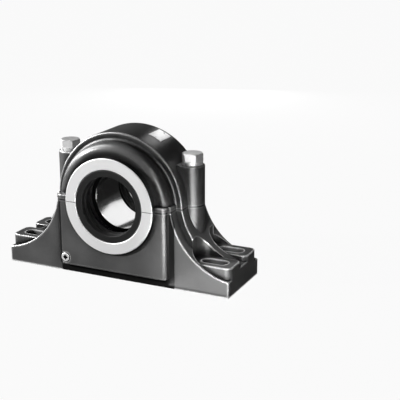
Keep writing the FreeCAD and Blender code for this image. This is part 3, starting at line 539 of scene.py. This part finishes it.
def seal_rubber():
    f = Finish("black_rubber")
    bloom = f.noise(BLOOM, detail=3.0)
    return f.finish({"Base Color": f.mix(f.between(bloom, BLOOM_SPAN), RUBBER_DARK, RUBBER_BLOOM),
                     "Roughness": f.between(bloom, NOISE_SPAN, RUBBER_ROUGH),
                     "Specular IOR Level": RUBBER_GLOSS, "Normal": f.bump(bloom, BLOOM_DEPTH)})


# %% [markdown]
# Each solid came with a material slot of the right name. The new finish goes into that slot, so the mesh itself stays
# as it was. Two pieces have a finish of their own. The plug's socket has painted shade. The sleeve's bore is ground
# finer than the rings, because the shaft slides in it, and outside the bore, from its end chamfers on, the sleeve is
# greasy.

# %% Finishes onto the solids
BEARING_ROUGH = (0.16, 0.28)
SLEEVE_ROUGH = (0.12, 0.20)
GREASE_RADIUS = 0.0501

finishes = {
    "casting_paint": casting_paint(),
    "plated_steel": plated_steel("bright_zinc_plate", BOLT_METAL),
    "bearing_steel": ground_steel("ground_bearing_steel", BEARING_ROUGH),
    "cage_steel": cage_steel(),
    "seal_iron": seal_iron(),
    "seal_rubber": seal_rubber(),
}
own_finishes = {
    "adapter_sleeve": ground_steel("ground_sleeve_bore", SLEEVE_ROUGH, grease_from=GREASE_RADIUS),
    "drain_plug": plug_plate(),
}

for name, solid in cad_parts.items():
    slot = solid.material_slots[0].material.name
    solid.material_slots[0].material = own_finishes.get(name, finishes[slot])
print("dressed:", len(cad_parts), "solids in", len(finishes) + len(own_finishes), "finishes")

# %% [markdown]
# A thin metal plate is pinned to the cap's barrel, a little to the right of the top. It is bare here. Both the plate
# and its pins sit on the round barrel, so one helper finds a point there. A second one turns a finished shape into a
# piece that rides on the housing.

# %% Helpers for pieces on the barrel
bore_middle = Vector((0.0, 0.0, BORE_HEIGHT))
along_shaft = Vector((0.0, 1.0, 0.0))


def on_barrel(turn, y, above=0.0):
    """A point on the cap's barrel, turned from the top towards +X."""
    reach = BARREL_RADIUS + above
    return Vector((reach * math.sin(turn), y, BORE_HEIGHT + reach * math.cos(turn)))


def mesh_piece(name, shape, material, body):
    shape.normal_update()
    mesh = bpy.data.meshes.new(name)
    shape.to_mesh(mesh)
    shape.free()
    for face in mesh.polygons:
        face.use_smooth = False
    mesh.materials.append(material)
    piece = bpy.data.objects.new(name, mesh)
    bpy.context.scene.collection.objects.link(piece)
    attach(piece, body)
    print(name, "has", len(mesh.polygons), "faces")


# %% [markdown]
# Sheet metal bent to a round casting is part of a cylinder, so the plate is made by spinning one straight edge about
# the bore's axis. Solidify then gives it its thickness, and a small bevel takes the sharpness off its outline.

# %% The blank plate
PLATE_TURN = math.radians(25.3)
PLATE_WIDTH = 0.0246
PLATE_LENGTH = 0.0385
PLATE_MIDDLE_Y = 0.0134
PLATE_THICK = 0.0008
PLATE_STEPS = 12
PLATE_LIFT = 0.00005
PLATE_CORNER = 0.00025
PLATE_METAL = 0.80
SHARP_ANGLE = math.radians(60)


def curved_plate():
    shape = bmesh.new()
    half_turn = PLATE_WIDTH / 2 / BARREL_RADIUS
    ends = [PLATE_MIDDLE_Y - PLATE_LENGTH / 2, PLATE_MIDDLE_Y + PLATE_LENGTH / 2]
    low, high = (shape.verts.new(on_barrel(PLATE_TURN - half_turn, y, PLATE_LIFT)) for y in ends)
    edge = shape.edges.new((low, high))
    bmesh.ops.spin(shape, geom=[low, high, edge], cent=bore_middle, axis=along_shaft, angle=2 * half_turn,
                   steps=PLATE_STEPS, use_merge=False, use_duplicate=False)
    bmesh.ops.remove_doubles(shape, verts=shape.verts, dist=1e-6)
    bmesh.ops.recalc_face_normals(shape, faces=shape.faces)
    outwards = on_barrel(PLATE_TURN, PLATE_MIDDLE_Y) - bore_middle
    shape.normal_update()
    if sum(face.normal.dot(outwards) for face in shape.faces) < 0.0:
        bmesh.ops.reverse_faces(shape, faces=shape.faces)
    bmesh.ops.solidify(shape, geom=shape.faces[:], thickness=-PLATE_THICK)
    shape.normal_update()
    outline = [e for e in shape.edges if len(e.link_faces) == 2 and e.calc_face_angle(0.0) > SHARP_ANGLE]
    bmesh.ops.bevel(shape, geom=outline, offset=PLATE_CORNER, segments=2, profile=0.5, affect="EDGES",
                    material=-1)
    return shape


mesh_piece("blank_plate", curved_plate(), plated_steel("bare_plate_metal", PLATE_METAL), "housing")

# %% [markdown]
# Two small drive pins hold the plate, one near each end. A pin's low round head is a short outline, spun once round
# its own axis. Its foot sinks a little into the plate, so that no gap shows.

# %% The plate's pins
PIN_RADIUS = 0.0016
PIN_HEIGHT = 0.0008
PIN_INSET = 0.0040
PIN_STEPS = 20
PIN_SEAT = 0.9
SHOULDER_HEIGHT = 0.75
SHOULDER_RADIUS = 0.7


def drive_pin(turn, y):
    shape = bmesh.new()
    out = (on_barrel(turn, 0.0) - bore_middle).normalized()
    seat = on_barrel(turn, y, PLATE_LIFT + PLATE_THICK * PIN_SEAT)
    crown = shape.verts.new(seat + out * PIN_HEIGHT)
    shoulder = shape.verts.new(seat + out * PIN_HEIGHT * SHOULDER_HEIGHT + along_shaft * PIN_RADIUS * SHOULDER_RADIUS)
    rim = shape.verts.new(seat + along_shaft * PIN_RADIUS)
    foot = shape.verts.new(seat)
    outline = [shape.edges.new(pair) for pair in ((crown, shoulder), (shoulder, rim), (rim, foot))]
    bmesh.ops.spin(shape, geom=[crown, shoulder, rim, foot] + outline, cent=seat, axis=out, angle=2 * math.pi,
                   steps=PIN_STEPS, use_merge=True)
    bmesh.ops.remove_doubles(shape, verts=shape.verts, dist=1e-7)
    bmesh.ops.recalc_face_normals(shape, faces=shape.faces)
    return shape


for end, side in (("front", -1), ("rear", 1)):
    pin_y = PLATE_MIDDLE_Y + side * (PLATE_LENGTH / 2 - PIN_INSET)
    mesh_piece("plate_pin_" + end, drive_pin(PLATE_TURN, pin_y), finishes["plated_steel"], "housing")

# %% [markdown]
# The floor is a plain white sheet. It has to look white without flooding the block with light, so for rays that reach
# the camera most of its brightness is its own. The rest is ordinary pale paint, which keeps a faint shadow of the
# block. The light path tells such rays from those that come off a glossy surface, and for these the white is turned
# far down, so that the enamel stays as dark as in a dark studio.

# %% The floor
FLOOR_REACH = 14.0
FLOOR_GAP = 0.0002
FLOOR_PALE = grey(0.20)
WHITE = grey(1.0)
GLOW_SEEN = 0.95
GLOW_MIRRORED = 0.012


def white_share(graph, seen, mirrored):
    """How much of the white shows: one share for the camera and through glass, another for glossy surfaces."""
    path = graph.node("LightPath").outputs
    straight = graph.largest(path["Is Camera Ray"], path["Is Transmission Ray"])
    return graph.largest(graph.times(straight, seen), graph.times(path["Is Glossy Ray"], mirrored))


def white_floor():
    material = bpy.data.materials.new("white_floor")
    material.use_nodes = True
    material.node_tree.nodes.clear()
    sheet = Graph(material.node_tree)
    paint = sheet.node("BsdfDiffuse", {"Color": FLOOR_PALE})
    glow = sheet.node("Emission", {"Color": WHITE, "Strength": white_share(sheet, 1.0, GLOW_MIRRORED)})
    both = sheet.node("MixShader", {0: white_share(sheet, GLOW_SEEN, 1.0), 1: paint.outputs[0], 2: glow.outputs[0]})
    sheet.node("OutputMaterial", {"Surface": both.outputs[0]})
    return material


floor_mesh = bpy.data.meshes.new("floor")
floor_shape = bmesh.new()
bmesh.ops.create_grid(floor_shape, x_segments=1, y_segments=1, size=FLOOR_REACH)
bmesh.ops.translate(floor_shape, verts=floor_shape.verts, vec=Vector((0.0, 0.0, cad_box[0].z - FLOOR_GAP)))
floor_shape.to_mesh(floor_mesh)
floor_shape.free()
floor_mesh.materials.append(white_floor())
floor = bpy.data.objects.new("floor", floor_mesh)
bpy.context.scene.collection.objects.link(floor)
print("floor reaches", FLOOR_REACH, "m each way")

# %% [markdown]
# The world behind the floor works the same way: white to the camera, far down for glossy surfaces, and for every
# other ray a weak, even grey that keeps the shadows from closing up.

# %% The world
AMBIENT = grey(0.025)
SKY_MIRRORED = 0.012

world = bpy.data.worlds.new("studio")
world.use_nodes = True
bpy.context.scene.world = world
sky = Graph(world.node_tree)
background = world.node_tree.nodes["Background"]
sky.feed(background.inputs["Color"], sky.mix(white_share(sky, 1.0, SKY_MIRRORED), AMBIENT, WHITE))
print("world:", world.name, "with", len(world.node_tree.nodes), "nodes")

# %% [markdown]
# Black enamel shows its form by what it mirrors, so light and reflections are set apart. A small, distant key lamp at
# the left lights the block and throws hard shadows to the right. A weak fill from the front leaves no glint.

# %% Key and front fill
AIM = Vector((0.0, 0.0, 0.11))


def hang(light, place, aim, lean=0.0):
    lamp = bpy.data.objects.new(light.name, light)
    lamp.location = place
    facing = (aim - Vector(place)).to_track_quat("-Z", "Y").to_matrix()
    lamp.rotation_euler = (facing @ Matrix.Rotation(lean, 3, "Z")).to_euler()
    lamp.visible_camera = False
    bpy.context.scene.collection.objects.link(lamp)
    return lamp


def soft_box(name, place, width, height, power, aim=AIM, lean=0.0):
    light = bpy.data.lights.new(name, "AREA")
    light.shape = "RECTANGLE"
    light.size = width
    light.size_y = height
    light.energy = power
    return hang(light, place, aim, lean)


def fill(*setting):
    """A lamp that lights, though the gloss doesn't show it."""
    soft_box(*setting).visible_glossy = False


soft_box("key", (-1.75, -1.10, 0.86), 0.20, 0.20, 67.0)
fill("front_low", (-0.10, -1.00, 0.20), 0.30, 0.25, 0.6)
print("key and fill aim at", tuple(round(v, 3) for v in AIM))

# %% [markdown]
# The reflections come from cards that only the gloss shows. Each stands where one edge or curve mirrors it towards
# the camera: the strip for the cap's left shoulder, the right and front cards for the beads on its right, the cards
# on the floor for the panel's corner, the bolt's boss and the flank of the right foot, and two near cards behind the
# block for the bore and the plate.

# %% Mirror cards
CARD_LIFT = 0.004


def mirror_card(*setting, **aimed):
    """A bright card that the gloss shows, though it lights nothing."""
    soft_box(*setting, **aimed).visible_diffuse = False


def lying_card(name, x, y, width, length, power):
    mirror_card(name, (x, y, CARD_LIFT), width, length, power, aim=Vector((x, y, 1.0)))


mirror_card("left_strip", (-1.10, -0.14, 0.75), 0.55, 1.40, 42.0, lean=math.radians(-38))
mirror_card("right_card", (0.78, -0.93, 0.95), 0.35, 0.35, 4.0)
lying_card("floor_card", 0.315, -0.450, 0.29, 0.60, 12.0)
mirror_card("front_card", (0.445, -0.870, 0.260), 0.22, 0.30, 5.0, aim=Vector((0.085, -0.060, 0.170)))
lying_card("foot_card", 0.185, -0.123, 0.17, 0.114, 0.24)
mirror_card("bore_card", (-0.0132, 0.15, 0.1818), 0.136, 0.080, 0.038, aim=Vector((-0.035, 0.0, 0.095)))
mirror_card("plate_card", (0.0335, 0.143, 0.310), 0.06, 0.06, 0.028, aim=Vector((0.050, 0.013, 0.236)))
print("lamps and cards:", len(bpy.data.lights))

# %% [markdown]
# A narrow spot picks out the rims of the right foot, which lies in the block's own shadow. Two more fills keep the
# right end and the rear readable from the other sides. The Standard view then shows every colour as it is written.

# %% Spot, side fills and view
SPOT_POWER = 34.0
SPOT_CONE = math.radians(13)
SPOT_BLEND = 0.5
SPOT_SOFTNESS = 0.02

spot = bpy.data.lights.new("foot_spot", "SPOT")
spot.energy = SPOT_POWER
spot.spot_size = SPOT_CONE
spot.spot_blend = SPOT_BLEND
spot.shadow_soft_size = SPOT_SOFTNESS
hang(spot, (0.285, -0.82, 0.64), Vector((0.165, -0.03, 0.04)))
fill("right_fill", (1.20, 0.10, 0.10), 0.40, 0.30, 1.6)
fill("rear_fill", (-0.60, 1.60, 0.20), 0.50, 0.30, 24.0)

bpy.context.scene.view_settings.view_transform = "Standard"
print("lamps in all:", len(bpy.data.lights))
